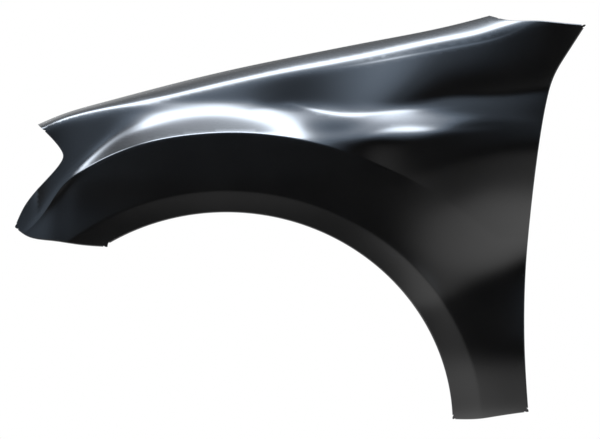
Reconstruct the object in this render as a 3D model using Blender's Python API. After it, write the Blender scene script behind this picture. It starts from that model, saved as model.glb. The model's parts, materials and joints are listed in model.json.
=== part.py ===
"""Left front fender of a car: one pressed sheet-steel panel with its folded flanges.

The outer skin is a depth map over the side view. Each vertical section starts from the flare's
face, turns at soft folds that follow guide curves, and meets the ridge line in plan.
"""

import math

import bmesh
import bpy
import numpy as np
from mathutils import Vector
from mathutils.geometry import delaunay_2d_cdt
from mathutils.kdtree import KDTree

# Driving sizes, in metres. +X runs to the rear of the car, +Y inboard and +Z up.
LENGTH = 1.115
HEIGHT = 0.788
BOW = 0.224
SHEET = 0.0009
BEND_RADIUS = 0.0025

# How softly the sheet turns at each pressed line
CREST_SOFTNESS = 0.0006
RIM_SOFTNESS = 0.0023
BELT_SOFTNESS = 0.0043
STEP_SOFTNESS = 0.0055
RIDGE_SOFTNESS = 0.0056
CURL_SOFTNESS = 0.0076
TUCK_SOFTNESS = 0.0157
SHOULDER_SOFTNESS = 0.005
REAR_SHOULDER_SOFTNESS = 0.030
LIP_SOFTNESS = 0.0012
RIM_WIDTH = 0.004

# Flanges
TOP_DROP = 0.020
TOP_FLANGE = 0.030
DOOR_FLANGE = 0.014
DOOR_TAB = 0.034
DOOR_TAB_LENGTH = 0.046
COWL_FLANGE = 0.022
SILL_FLANGE = 0.030
ARCH_FLANGE = 0.016
BUMPER_FLANGE = 0.020
LAMP_FLANGE = 0.011
CORNER_RELIEF = 0.008
LONG_RELIEF = 0.020
FLANGE_CORNER = 0.007
BOLT_HOLE_RADIUS = 0.0038
CLIP_HOLE_RADIUS = 0.0035
PAD_RADIUS = 0.0095
PAD_RAMP = 0.0045
PAD_DEPTH = 0.003
SLOT_LENGTH = 0.014

# Mesh spacing
EDGE_SPACING = 0.015
LINE_SPACING = 0.016
FIELD_SPACING = 0.021
BEND_STEP_DEGREES = 46
HOLE_SIDES = 12
PAD_SIDES = 18
RAMP_SHARES = (0, 1)
NO_MERGE = 1e-7

# Outline in the side view: shares of the length from the front tip and of the height from the foot
TOP_SHARES = (
    (0.040, 0.7297), (0.080, 0.7535), (0.150, 0.7832), (0.238, 0.8163), (0.378, 0.8649),
    (0.500, 0.9007), (0.631, 0.9371), (0.762, 0.9740), (0.832, 0.9993),
)
COWL_SHARES = (
    (0.832, 0.9993), (0.871, 0.9869), (0.911, 0.9866), (0.955, 0.9817), (1.000, 0.9757),
)
DOOR_SHARES = (
    (1.000, 0.9757), (0.967, 0.9035), (0.944, 0.8465), (0.932, 0.7896), (0.921, 0.7054),
    (0.910, 0.5916), (0.902, 0.4876), (0.896, 0.3837), (0.893, 0.2797), (0.894, 0.1510),
    (0.900, 0.0173),
)
SILL_SHARES = ((0.900, 0.0173), (0.841, 0.0050), (0.818, 0.0000), (0.765, -0.0012))
BUMPER_SHARES = ((0.163, 0.4257), (0.115, 0.4307), (0.066, 0.4406), (0.019, 0.4542), (0.000, 0.4752))
LAMP_SHARES = (
    (0.000, 0.4752), (0.017, 0.5272), (0.040, 0.5693), (0.066, 0.6089), (0.080, 0.6337),
    (0.085, 0.6510), (0.079, 0.6708), (0.061, 0.7005), (0.040, 0.7297),
)
ARCH_CENTRE_SHARES = (0.3715, -0.0176)
ARCH_HALF_SHARES = (0.3960, 0.5290)
LIP_CENTRE_SHARES = (0.3715, -0.0272)
LIP_HALF_SHARES = (0.4476, 0.5928)

# Guide curves of the pressed lines, in the same shares
RIDGE_SHARES = (
    (0.000, 0.698), (0.080, 0.749), (0.168, 0.773), (0.255, 0.797), (0.378, 0.837), (0.500, 0.866),
    (0.579, 0.889), (0.675, 0.919), (0.762, 0.940), (0.806, 0.951), (0.850, 0.967), (0.885, 0.980),
    (1.000, 1.036),
)
CREST_SHARES = (
    (0.000, 0.4431), (0.051, 0.5099), (0.080, 0.5693), (0.115, 0.6114), (0.168, 0.6522),
    (0.257, 0.6923), (0.325, 0.7054), (0.392, 0.7089), (0.448, 0.7035), (0.498, 0.6926),
    (0.570, 0.6666), (0.643, 0.6262), (0.710, 0.5804), (0.785, 0.5124), (0.850, 0.4480),
)
FACE_SHARES = (
    (0.000, 0.4381), (0.051, 0.5050), (0.080, 0.5644), (0.115, 0.6064), (0.168, 0.6473),
    (0.257, 0.6874), (0.325, 0.7005), (0.392, 0.7040), (0.448, 0.6980), (0.498, 0.6881),
    (0.570, 0.6616), (0.643, 0.6411), (0.710, 0.6386), (0.785, 0.6460), (1.000, 0.6609),
)
SHOULDER_SHARES = (
    (0.000, 0.435), (0.051, 0.515), (0.080, 0.566), (0.124, 0.635), (0.168, 0.687), (0.238, 0.727),
    (0.308, 0.747), (0.378, 0.751), (0.448, 0.740), (0.500, 0.735), (0.579, 0.711), (0.675, 0.778),
    (0.762, 0.829), (0.850, 0.833), (1.000, 0.845),
)
UPPER_BELT_SHARES = (
    (0.413, 0.786), (0.488, 0.766), (0.579, 0.779), (0.675, 0.777), (0.762, 0.798), (0.850, 0.802),
    (0.932, 0.815), (1.000, 0.820),
)
MIDDLE_BELT_SHARES = (
    (0.413, 0.760), (0.488, 0.783), (0.535, 0.780), (0.579, 0.766), (0.622, 0.757), (0.675, 0.767),
    (0.762, 0.757), (0.850, 0.748), (1.000, 0.750),
)
LOWER_BELT_SHARES = (
    (0.413, 0.663), (0.500, 0.688), (0.570, 0.688), (0.608, 0.695), (0.649, 0.696), (0.719, 0.704),
    (0.806, 0.738), (0.932, 0.734), (1.000, 0.736),
)
POCKET_SHARES = ((0.675, 0.588), (0.757, 0.635), (0.916, 0.676), (1.000, 0.668))
TUCK_TOP_SHARES = ((0.640, 0.518), (0.675, 0.522), (0.762, 0.530), (0.815, 0.550), (0.902, 0.550))
TUCK_FOOT_SHARES = ((0.640, 0.415), (0.675, 0.404), (0.762, 0.371), (0.815, 0.361), (0.902, 0.401))
SKIRT_SHARES = ((0.745, 0.141), (0.902, 0.165))
CURL_SHARES = ((0.745, 0.007), (0.902, 0.012))

# Plan of the panel: how far the flare's face and the ridge stand inboard, as shares of the bow
FACE_PLAN_SHARES = (
    (0.000, -0.451), (0.051, -0.358), (0.080, -0.310), (0.124, -0.240), (0.168, -0.171),
    (0.238, -0.070), (0.308, -0.020), (0.378, 0.001), (0.448, -0.005), (0.500, -0.021),
    (0.579, -0.025), (0.675, -0.029), (0.762, -0.097), (0.850, -0.133), (0.928, -0.149),
    (1.000, -0.165),
)
RIDGE_PLAN_SHARES = (
    (0.000, -0.603), (0.080, -0.493), (0.168, -0.411), (0.238, -0.383), (0.308, -0.366),
    (0.378, -0.359), (0.500, -0.331), (0.579, -0.389), (0.675, -0.420), (0.762, -0.339),
    (0.850, -0.282), (0.928, -0.249), (1.000, -0.216),
)

# Slope that each fold adds above it, by share of the length
FACE_SLOPE_SHARES = (
    (0.000, 0.185), (0.080, 0.140), (0.168, 0.093), (0.500, 0.075), (0.719, 0.010), (1.000, 0.150),
)
CREST_GAIN_SHARES = (
    (0.000, -0.10), (0.051, 0.28), (0.080, 0.49), (0.124, 0.77), (0.168, 0.97), (0.238, 1.04),
    (0.308, 1.06), (0.448, 1.03), (0.500, 0.68), (0.544, 0.31), (0.579, 0.03), (0.622, -0.23),
    (0.719, 0.00), (0.785, 0.02),
)
RIDGE_GAIN_SHARES = (
    (0.045, 1.90), (0.080, 1.86), (0.168, 1.76), (0.238, 1.53), (0.308, 1.25), (0.378, 1.08),
    (0.448, 1.05), (0.500, 1.04), (0.579, 0.90), (0.675, 0.71), (0.762, 0.86), (0.850, 0.85),
)
RIM_GAIN_SHARES = (
    (0.045, 4.5), (0.150, 4.0), (0.273, 2.6), (0.378, 1.6), (0.500, 1.2), (0.675, 0.9),
    (0.832, 0.7), (1.000, 0.5),
)
LOWER_BELT_GAIN_SHARES = (
    (0.500, 0.01), (0.570, 0.35), (0.608, 0.51), (0.649, 0.63), (0.719, 0.59), (0.762, 0.49),
    (0.806, 0.37), (0.850, 0.24), (1.000, -0.27),
)
MIDDLE_BELT_GAIN_SHARES = (
    (0.474, -0.21), (0.500, -0.19), (0.535, -0.20), (0.579, -0.27), (0.649, -0.42),
    (0.719, -0.38), (0.762, -0.32), (0.850, -0.14), (1.000, 0.10),
)
UPPER_BELT_GAIN_SHARES = (
    (0.474, -0.30), (0.579, 0.01), (0.649, -0.24), (0.719, -0.42), (0.762, -0.46),
    (0.806, -0.46), (1.000, -0.17),
)
POCKET_GAIN_SHARES = ((0.675, 0.05), (0.757, 0.11), (1.000, 0.32))
TUCK_TOP_GAIN_SHARES = ((0.500, -0.07), (0.587, -0.07), (0.675, 0.03), (0.762, 0.12), (1.000, 0.32))
TUCK_FOOT_GAIN_SHARES = ((0.500, 0.14), (0.587, 0.01), (0.675, -0.10), (0.762, -0.05), (1.000, -0.85))
SKIRT_GAIN_SHARES = ((0.710, -0.06), (0.754, -0.04), (1.000, 0.49))
CURL_GAIN_SHARES = ((0.727, 0.00), (0.754, 0.25), (1.000, 0.30))
REAR_SHOULDER_SHARES = ((0.500, 0.0), (0.700, 1.0))
LIP_SLOPE = 0.146
BLEND_SHARE = 0.026

REARWARD = np.eye(3)[0]
FORWARD = -REARWARD
INBOARD = np.eye(3)[1]
UP = np.eye(3)[2]
DOWN = -UP


def spline(points):
    """Curve of continuous curvature through the points, level beyond its ends."""
    knots, values = np.array(points).T
    gaps = np.diff(knots)
    slopes = np.diff(values) / gaps
    size = len(knots)
    system = np.eye(size)
    right = np.zeros(size)
    for i in range(1, size - 1):
        system[i, i - 1:i + 2] = gaps[i - 1], 2 * (gaps[i - 1] + gaps[i]), gaps[i]
        right[i] = 6 * (slopes[i] - slopes[i - 1])
    bend = np.linalg.solve(system, right)

    def value(at):
        at = np.clip(at, knots[0], knots[-1])
        i = np.clip(np.searchsorted(knots, at) - 1, 0, size - 2)
        left = at - knots[i]
        rest = knots[i + 1] - at
        gap = gaps[i]
        low = values[i] / gap - bend[i] * gap / 6
        high = values[i + 1] / gap - bend[i + 1] * gap / 6
        return (bend[i] * rest**3 + bend[i + 1] * left**3) / (6 * gap) + low * rest + high * left

    return value


def table(stations):
    """Values joined by straight runs, with their corners rounded over the blend's share."""
    step = BLEND_SHARE / 20
    along = np.arange(-8 * BLEND_SHARE, 1 + 8 * BLEND_SHARE, step)
    reach = int(4 * BLEND_SHARE / step)
    weights = np.exp(-0.5 * (np.arange(-reach, reach + 1) * step / BLEND_SHARE) ** 2)
    raw = np.interp(along, *np.array(stations).T)
    rounded = np.convolve(raw, weights / weights.sum(), mode="same")
    return lambda at: np.interp(at, along, rounded)


def fold(curve_shares, softness, gain_shares):
    return spline(curve_shares), softness, table(gain_shares)


TOP_LINE = spline(TOP_SHARES)
RIDGE_LINE = spline(RIDGE_SHARES)
CREST_LINE = spline(CREST_SHARES)
FACE_LINE = spline(FACE_SHARES)
SHOULDER_LINE = spline(SHOULDER_SHARES)
FACE_PLAN = spline(FACE_PLAN_SHARES)
RIDGE_PLAN = spline(RIDGE_PLAN_SHARES)
FACE_SLOPE = table(FACE_SLOPE_SHARES)
REAR_SHOULDER = table(REAR_SHOULDER_SHARES)
RIM_GAIN = table(RIM_GAIN_SHARES)

FOLDS_ABOVE = (
    fold(CREST_SHARES, CREST_SOFTNESS, CREST_GAIN_SHARES),
    fold(RIDGE_SHARES, RIDGE_SOFTNESS, RIDGE_GAIN_SHARES),
    fold(LOWER_BELT_SHARES, STEP_SOFTNESS, LOWER_BELT_GAIN_SHARES),
    fold(MIDDLE_BELT_SHARES, BELT_SOFTNESS, MIDDLE_BELT_GAIN_SHARES),
    fold(UPPER_BELT_SHARES, BELT_SOFTNESS, UPPER_BELT_GAIN_SHARES),
)
FOLDS_BELOW = (
    fold(POCKET_SHARES, CURL_SOFTNESS, POCKET_GAIN_SHARES),
    fold(TUCK_TOP_SHARES, TUCK_SOFTNESS, TUCK_TOP_GAIN_SHARES),
    fold(TUCK_FOOT_SHARES, TUCK_SOFTNESS, TUCK_FOOT_GAIN_SHARES),
    fold(SKIRT_SHARES, TUCK_SOFTNESS, SKIRT_GAIN_SHARES),
    fold(CURL_SHARES, CURL_SOFTNESS, CURL_GAIN_SHARES),
)


def turn(distance, softness):
    """Integral of a soft step: nothing before the fold, the distance past it after."""
    return softness * np.logaddexp(0, distance / softness)


def folded(along, up, start):
    """How far the sheet has gone inboard between two heights of one section, by its folds."""
    inboard = FACE_SLOPE(along) * (up - start)
    for line, softness, gain in FOLDS_ABOVE:
        at = line(along) * HEIGHT
        inboard = inboard + gain(along) * (turn(up - at, softness) - turn(start - at, softness))
    rim = TOP_LINE(along) * HEIGHT - RIM_WIDTH
    inboard = inboard + RIM_GAIN(along) * (turn(up - rim, RIM_SOFTNESS) - turn(start - rim, RIM_SOFTNESS))
    for line, softness, gain in FOLDS_BELOW:
        at = line(along) * HEIGHT
        inboard = inboard + gain(along) * (turn(at - up, softness) - turn(at - start, softness))
    return inboard


def skin_depth(x, z):
    """How far the outer skin stands proud of the flare's widest point, negative inboard."""
    along = x / LENGTH
    start = FACE_LINE(along) * HEIGHT
    ridge = RIDGE_LINE(along) * HEIGHT
    shoulder = SHOULDER_LINE(along) * HEIGHT
    rear = REAR_SHOULDER(along)
    softness = SHOULDER_SOFTNESS * (1 - rear) + REAR_SHOULDER_SOFTNESS * rear
    face = FACE_PLAN(along) * BOW
    missing = face - RIDGE_PLAN(along) * BOW - folded(along, ridge, start)
    bent = turn(z - shoulder, softness) - turn(start - shoulder, softness)
    full = turn(ridge - shoulder, softness) - turn(start - shoulder, softness)
    depth = face - folded(along, z, start) - missing * bent / full
    return depth - LIP_SLOPE * turn(inside_lip(x, z), LIP_SOFTNESS)


def inside_lip(x, z):
    """Distance inside the lip line, towards the wheel."""
    half_x = LIP_HALF_SHARES[0] * LENGTH
    half_z = LIP_HALF_SHARES[1] * HEIGHT
    across = (x - LIP_CENTRE_SHARES[0] * LENGTH) / half_x
    above = (z - LIP_CENTRE_SHARES[1] * HEIGHT) / half_z
    return (1 - np.hypot(across, above)) * (half_x + half_z) / 2


def skin_points(flat):
    return np.column_stack([flat[:, 0], -skin_depth(flat[:, 0], flat[:, 1]), flat[:, 1]])


def skin_normals(flat):
    """Outward unit normals of the skin, from the slopes over one sheet thickness each way."""
    x, z = flat.T
    slope_x = (skin_depth(x + SHEET, z) - skin_depth(x - SHEET, z)) / (2 * SHEET)
    slope_z = (skin_depth(x, z + SHEET) - skin_depth(x, z - SHEET)) / (2 * SHEET)
    return unit(np.column_stack([-slope_x, -np.ones_like(x), -slope_z]))


def unit(vectors):
    return vectors / np.linalg.norm(vectors, axis=1, keepdims=True)


def off_the_skin(flat, around):
    """Headings in line with the skin that leave its edge squarely, for an edge that runs clockwise."""
    along = skin_points(flat + SHEET * around) - skin_points(flat - SHEET * around)
    return unit(np.cross(skin_normals(flat), along))


def lengths_along(points):
    return np.concatenate([[0], np.cumsum(np.linalg.norm(np.diff(points, axis=0), axis=1))])


def filled(breaks, spacing):
    """The breaks with even steps near the spacing between them."""
    runs = []
    for start, end in zip(breaks[:-1], breaks[1:]):
        runs.append(np.linspace(start, end, max(1, math.ceil((end - start) / spacing)) + 1)[:-1])
    return np.append(np.concatenate(runs), breaks[-1])


def placed_along(points, at):
    """Points at the given distances along the polyline."""
    travelled = lengths_along(points)
    return np.column_stack([np.interp(at, travelled, axis) for axis in points.T])


def spaced(points, spacing):
    """The polyline again, at even steps near the spacing."""
    return placed_along(points, filled([0, lengths_along(points)[-1]], spacing))


def path(shares):
    """Dense polyline of the smooth curve through points given as shares."""
    points = np.array(shares) * (LENGTH, HEIGHT)
    knots = lengths_along(points)
    at = np.linspace(0, knots[-1], 40 * len(points))
    return np.column_stack([spline(list(zip(knots, axis)))(at) for axis in points.T])


def ellipse(centre_shares, half_shares, first, last):
    """Dense arc from the first angle to the last, in degrees from the rear, up over the top."""
    angle = np.radians(np.linspace(first, last, 400))
    x = (centre_shares[0] + half_shares[0] * np.cos(angle)) * LENGTH
    z = (centre_shares[1] + half_shares[1] * np.sin(angle)) * HEIGHT
    return np.column_stack([x, z])


def arch_angle(point_shares):
    across = (point_shares[0] - ARCH_CENTRE_SHARES[0]) / ARCH_HALF_SHARES[0]
    above = (point_shares[1] - ARCH_CENTRE_SHARES[1]) / ARCH_HALF_SHARES[1]
    return math.degrees(math.atan2(above, across))


RELIEFS = {
    "top": (LONG_RELIEF, LONG_RELIEF),
    "cowl": (LONG_RELIEF, CORNER_RELIEF),
    "door": (CORNER_RELIEF, CORNER_RELIEF),
    "sill": (CORNER_RELIEF, CORNER_RELIEF),
    "arch": (CORNER_RELIEF, CORNER_RELIEF),
    "bumper": (CORNER_RELIEF, CORNER_RELIEF),
    "lamp": (CORNER_RELIEF, LONG_RELIEF),
}


def outline():
    """The skin's edge in the side view, clockwise from the front of the bonnet gap, and its runs.

    Between the corner reliefs each run stands in by what its flange's bend adds to the side view.
    """
    arch = ellipse(
        ARCH_CENTRE_SHARES, ARCH_HALF_SHARES, arch_angle(SILL_SHARES[-1]), arch_angle(BUMPER_SHARES[0])
    )
    runs = {
        "top": path(TOP_SHARES),
        "cowl": path(COWL_SHARES),
        "door": path(DOOR_SHARES),
        "sill": path(SILL_SHARES),
        "arch": arch,
        "bumper": path(BUMPER_SHARES),
        "lamp": path(LAMP_SHARES),
    }
    points = []
    spans = {}
    for name, dense in runs.items():
        total = lengths_along(dense)[-1]
        first, last = RELIEFS[name]
        at = filled([0, first, total - last, total], EDGE_SPACING)[:-1]
        spans[name] = len(points) + np.flatnonzero((at >= first) & (at <= total - last))
        points.extend(placed_along(dense, at))
    points = np.array(points)
    flanged = np.zeros(len(points))
    flanged[np.concatenate(list(spans.values()))] = BEND_RADIUS
    around = unit(np.roll(points, -1, axis=0) - np.roll(points, 1, axis=0))
    inward = np.column_stack([around[:, 1], -around[:, 0]])
    added = flanged * (1 - off_the_skin(points, around) @ INBOARD)
    return points + inward * added[:, None], spans


def is_inside(points, polygon):
    """Whether each point lies inside the closed polygon."""
    x, z = points[:, 0, None], points[:, 1, None]
    x0, z0 = polygon.T
    x1, z1 = np.roll(polygon, -1, axis=0).T
    level = z1 - z0
    crosses = ((z0 > z) != (z1 > z)) & (x < (x1 - x0) * (z - z0) / np.where(level == 0, 1, level) + x0)
    return crosses.sum(axis=1) % 2 == 1


def nearest(points, others):
    """Distance from each point to the closest of the others."""
    tree = KDTree(len(others))
    for i, (x, z) in enumerate(others):
        tree.insert((x, 0, z), i)
    tree.balance()
    return np.array([tree.find((x, 0, z))[2] for x, z in points])


def feature_lines():
    """Lines that the skin's mesh edges follow, so that each pressed line stays crisp."""
    lines = []

    def along_curve(line, first, last, rise):
        share = np.linspace(first, last, 300)
        lines.append(np.column_stack([share * LENGTH, line(share) * HEIGHT + rise]))

    for rise in (-2 * CREST_SOFTNESS, 2 * CREST_SOFTNESS):
        along_curve(CREST_LINE, 0.02, 0.79, rise)
    for rise in (-2 * RIDGE_SOFTNESS, -RIDGE_SOFTNESS / 2, RIDGE_SOFTNESS):
        along_curve(RIDGE_LINE, 0.05, 0.84, rise)
    along_curve(TOP_LINE, 0.05, 0.83, -RIM_WIDTH - RIM_SOFTNESS)
    along_curve(spline(LOWER_BELT_SHARES), 0.60, 0.93, 0)
    along_curve(spline(MIDDLE_BELT_SHARES), 0.48, 0.85, 0)
    along_curve(spline(UPPER_BELT_SHARES), 0.60, 0.93, 0)
    for step in (-2 * LIP_SOFTNESS, 2 * LIP_SOFTNESS):
        grown = (LIP_HALF_SHARES[0] + step / LENGTH, LIP_HALF_SHARES[1] + step / HEIGHT)
        lines.append(ellipse(LIP_CENTRE_SHARES, grown, 0, 180))
    return [spaced(line, LINE_SPACING) for line in lines]


def triangulated(points, edges, border):
    """Triangles of the constrained mesh inside the border, and the output place of each input point."""
    flat = [Vector(point) for point in points]
    found, _, faces, sources, _, _ = delaunay_2d_cdt(flat, edges, [border], 1, NO_MERGE)
    place = {}
    for i, inputs in enumerate(sources):
        for source in inputs:
            place[source] = i
    return np.array([tuple(point) for point in found]), faces, place


def skin_mesh(border):
    """Vertices and triangles of the skin over the side view."""
    points = list(border)
    edges = []
    for line in feature_lines():
        keep = is_inside(line, border) & (nearest(line, border) > 0.45 * LINE_SPACING)
        last = None
        for point, kept in zip(line, keep):
            if kept:
                points.append(point)
                if last is not None:
                    edges.append((last, len(points) - 1))
            last = len(points) - 1 if kept else None
    across = np.arange(0, LENGTH, FIELD_SPACING)
    rows = np.arange(0, HEIGHT, FIELD_SPACING * math.sqrt(3) / 2)
    field = np.array([(x + FIELD_SPACING / 2 * (i % 2), z) for i, z in enumerate(rows) for x in across])
    field = field[is_inside(field, border)]
    field = field[nearest(field, np.array(points)) > 0.6 * FIELD_SPACING]
    points.extend(field)
    return triangulated(points, edges, list(range(len(border))))


def slerp(start, end, share):
    """Unit vectors part of the way round from the start headings to the end headings."""
    angle = np.arccos(np.clip((start * end).sum(axis=1), -1, 1))[:, None]
    return (start * np.sin(angle * (1 - share)) + end * np.sin(angle * share)) / np.sin(angle)


class Strip:
    """A folded strip that grows from a row of vertices along changing headings."""

    def __init__(self, panel, verts, heading):
        self.panel = panel
        self.verts = verts
        self.points = np.array([vert.co for vert in verts])
        self.heading = heading

    def advance(self, steps):
        self.points = self.points + steps
        row = [self.panel.verts.new(point) for point in self.points]
        for i in range(len(row) - 1):
            self.panel.faces.new([self.verts[i], self.verts[i + 1], row[i + 1], row[i]])
        self.verts = row

    def bend(self, heading):
        """Turns to a new heading along an arc of the bend radius."""
        heading = np.broadcast_to(heading, self.points.shape)
        angle = np.arccos(np.clip((self.heading * heading).sum(axis=1), -1, 1))[:, None]
        steps = max(1, round(math.degrees(angle.mean()) / BEND_STEP_DEGREES))
        start = self.heading
        chord = 2 * BEND_RADIUS * np.sin(angle / steps / 2)
        for step in range(steps):
            self.advance(chord * slerp(start, heading, (step + 0.5) / steps))
        self.heading = heading


def ease(share):
    """Smooth step from 0 to 1."""
    share = np.clip(share, 0, 1)
    return share**2 * (3 - 2 * share)


def circle(centre, radius, sides, slot=0):
    """Closed loop round a hole: a circle, or a slot lengthened along the strip."""
    angle = np.arange(sides) * 2 * math.pi / sides + math.pi / sides
    x = centre[0] + radius * np.cos(angle) + slot / 2 * np.sign(np.cos(angle))
    return np.column_stack([x, centre[1] + radius * np.sin(angle)])


def finish_strip(strip, width, holes=(), tab=None):
    """The strip's last flat, with rounded corners, holes, bolt pads and at most one tab.

    A hole is (place as a share of the strip, distance across, radius, slot, the way its pad faces).
    """
    travelled = lengths_along(strip.points)
    total = travelled[-1]

    def reach(s):
        edge = np.minimum(s, total - s)
        cut = np.clip(FLANGE_CORNER - edge, 0, FLANGE_CORNER)
        far = width - FLANGE_CORNER + np.sqrt(FLANGE_CORNER**2 - cut**2)
        if tab:
            share, half, extra = tab
            far = far + extra * ease((half + extra - np.abs(s - share * total)) / extra)
        return far

    rounding = FLANGE_CORNER * np.array([0, 0.12, 0.5, 1])
    breaks = np.concatenate([rounding, total - rounding])
    if tab:
        share, half, extra = tab
        ramp = half + extra * np.linspace(0, 1, 4)
        breaks = np.concatenate([breaks, share * total + ramp, share * total - ramp])
    far_s = filled(np.sort(breaks), EDGE_SPACING)
    near = np.column_stack([travelled, np.zeros_like(travelled)])
    far = np.column_stack([far_s, reach(far_s)])[::-1]
    border = np.concatenate([near, far])
    points = list(border)
    edges = []
    cuts = []
    pads = []
    for place_share, across, radius, slot, facing in holes:
        centre = (place_share * total, across)
        loops = [circle(centre, radius, HOLE_SIDES, slot)]
        if facing is not None:
            rings = [PAD_RADIUS + PAD_RAMP * share for share in RAMP_SHARES]
            loops.extend(circle(centre, ring, PAD_SIDES, slot) for ring in rings)
            pads.append((centre, slot, facing))
        for loop in loops:
            first = len(points)
            points.extend(loop)
            edges.extend((first + i, first + (i + 1) % len(loop)) for i in range(len(loop)))
        cuts.append(loops[0])
    found, faces, place = triangulated(points, edges, list(range(len(border))))

    base = np.column_stack([np.interp(found[:, 0], travelled, axis) for axis in strip.points.T])
    lead = unit(np.column_stack([np.interp(found[:, 0], travelled, axis) for axis in strip.heading.T]))
    placed = base + lead * found[:, 1:2]
    for centre, slot, facing in pads:
        beside = np.maximum(np.abs(found[:, 0] - centre[0]) - slot / 2, 0)
        away = np.hypot(beside, found[:, 1] - centre[1])
        on_pad = ease((PAD_RADIUS + PAD_RAMP - away) / PAD_RAMP)
        seat = strip_point(strip, centre[0]) + PAD_DEPTH * facing
        placed += np.outer(on_pad * ((seat - placed) @ facing), facing)
    verts = {place[i]: strip.verts[i] for i in range(len(near))}
    for i, point in enumerate(placed):
        if i not in verts:
            verts[i] = strip.panel.verts.new(point)
    for face in faces:
        middle = found[face].mean(axis=0)[None, :]
        if not any(is_inside(middle, loop)[0] for loop in cuts):
            strip.panel.faces.new([verts[i] for i in face])
    return placed


def strip_point(strip, distance):
    """The point at a distance along the strip's near edge."""
    travelled = lengths_along(strip.points)
    return np.array([np.interp(distance, travelled, column) for column in strip.points.T])


def seat_point(strip, share, across):
    """The point of a level pad midway between its hole and its rim, on the sheet's underside."""
    start = strip_point(strip, share * lengths_along(strip.points)[-1])
    return start + INBOARD * across + REARWARD * (BOLT_HOLE_RADIUS + PAD_RADIUS) / 2 + DOWN * (PAD_DEPTH + SHEET)


def start_strip(panel, name, rim):
    """A strip that leaves the skin's edge in line with the skin."""
    border, spans, rim_verts = rim
    run = border[spans[name]]
    heading = off_the_skin(run, unit(np.gradient(run, axis=0)))
    return Strip(panel, [rim_verts[i] for i in spans[name]], heading)


TOP_PAD_SHARES = (0.05, 0.27, 0.50, 0.74, 0.96)
SEAT_PAD_SHARE = 0.50
ARCH_CLIP_SHARES = (0.08, 0.24, 0.41, 0.58, 0.75, 0.92)
BUMPER_SLOT_SHARES = (0.27, 0.73)
DOOR_TAB_SHARE = 0.17
COWL_CLIP_SHARE = 0.50
SILL_SLOT_SHARE = 0.50


def bonnet_flange(panel, rim):
    """Drops from the bonnet gap and runs inboard, with level pads that bolt down to the body."""
    strip = start_strip(panel, "top", rim)
    strip.bend(DOWN)
    strip.advance(DOWN * TOP_DROP)
    strip.bend(INBOARD)
    across = TOP_FLANGE / 2
    finish_strip(strip, TOP_FLANGE, [(share, across, BOLT_HOLE_RADIUS, 0, DOWN) for share in TOP_PAD_SHARES])
    return seat_point(strip, SEAT_PAD_SHARE, across)


def cowl_flange(panel, rim):
    strip = start_strip(panel, "cowl", rim)
    strip.bend(INBOARD)
    finish_strip(strip, COWL_FLANGE, [(COWL_CLIP_SHARE, COWL_FLANGE / 2, CLIP_HOLE_RADIUS, 0, None)])


def door_flange(panel, rim):
    """Narrow return beside the door, widened to a tab that bolts to the hinge pillar."""
    strip = start_strip(panel, "door", rim)
    strip.bend(INBOARD)
    extra = DOOR_TAB - DOOR_FLANGE
    across = DOOR_TAB - PAD_RADIUS - PAD_RAMP
    hole = (DOOR_TAB_SHARE, across, BOLT_HOLE_RADIUS, 0, FORWARD)
    finish_strip(strip, DOOR_FLANGE, [hole], (DOOR_TAB_SHARE, DOOR_TAB_LENGTH / 2 - extra / 2, extra))


def sill_flange(panel, rim):
    """Foot that bolts up to the sill through a slot."""
    strip = start_strip(panel, "sill", rim)
    strip.bend(INBOARD)
    slot = SLOT_LENGTH - 2 * BOLT_HOLE_RADIUS
    finish_strip(strip, SILL_FLANGE, [(SILL_SLOT_SHARE, SILL_FLANGE / 2, BOLT_HOLE_RADIUS, slot, UP)])


def arch_flange(panel, rim):
    """Return round the wheel opening, with holes for the liner's clips."""
    strip = start_strip(panel, "arch", rim)
    strip.bend(INBOARD)
    holes = [(share, ARCH_FLANGE / 2, CLIP_HOLE_RADIUS, 0, None) for share in ARCH_CLIP_SHARES]
    finish_strip(strip, ARCH_FLANGE, holes)


def bumper_flange(panel, rim):
    """Return along the bumper joint, with slots for the bumper's bracket."""
    strip = start_strip(panel, "bumper", rim)
    strip.bend(INBOARD)
    slot = SLOT_LENGTH - 2 * CLIP_HOLE_RADIUS
    holes = [(share, BUMPER_FLANGE / 2, CLIP_HOLE_RADIUS, slot, None) for share in BUMPER_SLOT_SHARES]
    finish_strip(strip, BUMPER_FLANGE, holes)


def lamp_flange(panel, rim):
    strip = start_strip(panel, "lamp", rim)
    strip.bend(INBOARD)
    finish_strip(strip, LAMP_FLANGE)


def black_primer():
    material = bpy.data.materials.new("black_primer")
    material.use_nodes = True
    shader = material.node_tree.nodes["Principled BSDF"]
    shader.inputs["Base Color"].default_value = (0.006, 0.006, 0.007, 1)
    shader.inputs["Roughness"].default_value = 0.2
    shader.inputs["Metallic"].default_value = 0
    return material


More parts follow.
